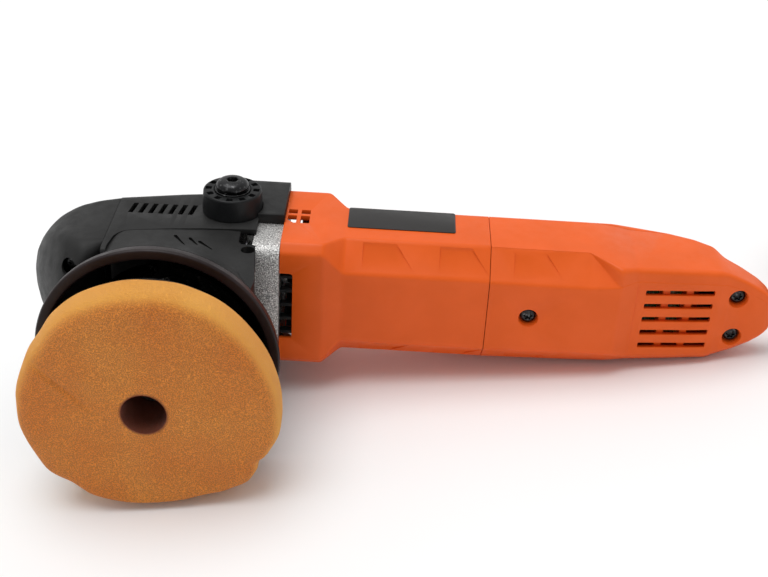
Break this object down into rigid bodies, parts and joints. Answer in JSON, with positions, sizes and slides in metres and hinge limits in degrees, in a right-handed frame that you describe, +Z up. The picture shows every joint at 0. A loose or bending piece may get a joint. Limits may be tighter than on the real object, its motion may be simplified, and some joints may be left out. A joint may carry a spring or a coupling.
{
  "type": "dual-action polisher",
  "caption": "Corded random-orbit car polisher lying on its side: orange motor body and handle, black gear head with a round shroud, foam pad on an offset spindle.",
  "frame": {"origin": "centre of the bottom of the tool's box as it lies on its right side, without its cord", "axes": "+X along the tool towards the tail and cord, +Y from the pad towards the palm side, +Z up through the tool's left side"},
  "size_m": [0.6002, 0.2636, 0.1366],
  "materials": {
    "orange_plastic": "fine-grained moulded nylon, bright orange",
    "black_cover": "soft-touch black cover with light scuffs",
    "shroud_rubber": "brown-black rubber",
    "black_plastic": "satin moulded black",
    "cast_aluminium": "sand-cast, speckled grey",
    "bright_steel": "ground and polished",
    "dark_steel": "black oxide",
    "lamination_steel": "stacked sheet steel",
    "copper": "enamelled copper wire",
    "carbon": "pressed carbon",
    "orange_foam": "open-cell polyurethane foam",
    "loop_fabric": "hook-and-loop fabric",
    "cord_rubber": "black rubber flex",
    "label_film": "dark grey printed film, blank",
    "circuit_board": "green circuit board"
  },
  "bodies": {
    "housing": {"gear_case": "cast_aluminium", "bearing_retainer": "cast_aluminium", "lower_gear_case": "black_cover", "shroud_rim": "shroud_rubber", "head_cover": "black_cover", "nose_cover": "black_cover", "handle_boss_left": "black_plastic", "boss_washer_left": "dark_steel", "boss_bolt_left": "dark_steel", "handle_boss_right": "black_plastic", "boss_washer_right": "dark_steel", "boss_bolt_right": "dark_steel", "nose_screw": "dark_steel", "retainer_screw": "dark_steel", "motor_housing": "orange_plastic", "fan_baffle": "black_plastic", "stator_core": "lamination_steel", "field_coil_left": "copper", "field_coil_right": "copper", "rear_bearing_bracket": "black_plastic", "brush_holder_left": "black_plastic", "brush_holder_right": "black_plastic", "carbon_brush_left": "carbon", "carbon_brush_right": "carbon", "rear_handle_lower": "orange_plastic", "rear_handle_upper": "orange_plastic", "handle_screw_1": "dark_steel", "handle_screw_2": "dark_steel", "handle_screw_3": "dark_steel", "switch_body": "black_plastic", "speed_controller": "circuit_board", "label_plate": "label_film", "strain_relief": "cord_rubber", "cord_clamp": "black_plastic", "cord_lead": "cord_rubber", "cord_tail": "cord_rubber", "cord_coil": "cord_rubber", "plug": "black_plastic"},
    "spindle": {"spindle_shaft": "bright_steel", "bevel_gear": "bright_steel", "spindle_bearing_upper": "bright_steel", "spindle_bearing_lower": "bright_steel", "counterweight": "dark_steel", "pad_bearing_upper": "bright_steel", "pad_bearing_lower": "bright_steel"},
    "pad": {"pad_spindle": "bright_steel", "backing_plate": "black_plastic", "loop_disc": "loop_fabric", "plate_bolt": "dark_steel", "foam_pad": "orange_foam"},
    "armature": {"armature_shaft": "bright_steel", "pinion": "bright_steel", "armature_core": "lamination_steel", "armature_winding": "copper", "commutator": "copper", "cooling_fan": "black_plastic", "armature_bearing_front": "bright_steel", "armature_bearing_rear": "bright_steel"},
    "slide_switch": {"switch_slider": "black_plastic"},
    "dial": {"speed_dial": "black_plastic"}
  },
  "joints": [
    {"name": "spindle_spin", "type": "hinge", "parent": "housing", "child": "spindle", "pos_m": [-0.15052, 0.04882, 0.06745], "axis": [-0.0028, 0.9997, -0.0239], "continuous": true},
    {"name": "pad_spin", "type": "hinge", "parent": "spindle", "child": "pad", "pos_m": [-0.15138, 0.04864, 0.06], "axis": [-0.0028, 0.9997, -0.0239], "continuous": true},
    {"name": "armature_spin", "type": "hinge", "parent": "housing", "child": "armature", "pos_m": [-0.08993, 0.04882, 0.0604], "axis": [0.9933, 0, -0.1155], "continuous": true},
    {"name": "switch_slide", "type": "slide", "parent": "housing", "child": "slide_switch", "axis": [-0.9933, 0, 0.1155], "range_m": [0, 0.004]},
    {"name": "dial_turn", "type": "hinge", "parent": "housing", "child": "dial", "pos_m": [0.1355, 0.06831, 0.03371], "axis": [0.1155, 0.0241, 0.993], "range_deg": [0, 270]}
  ],
  "couplings": [
    {"joint": "armature_spin", "follows": "spindle_spin", "ratio": 4}
  ]
}
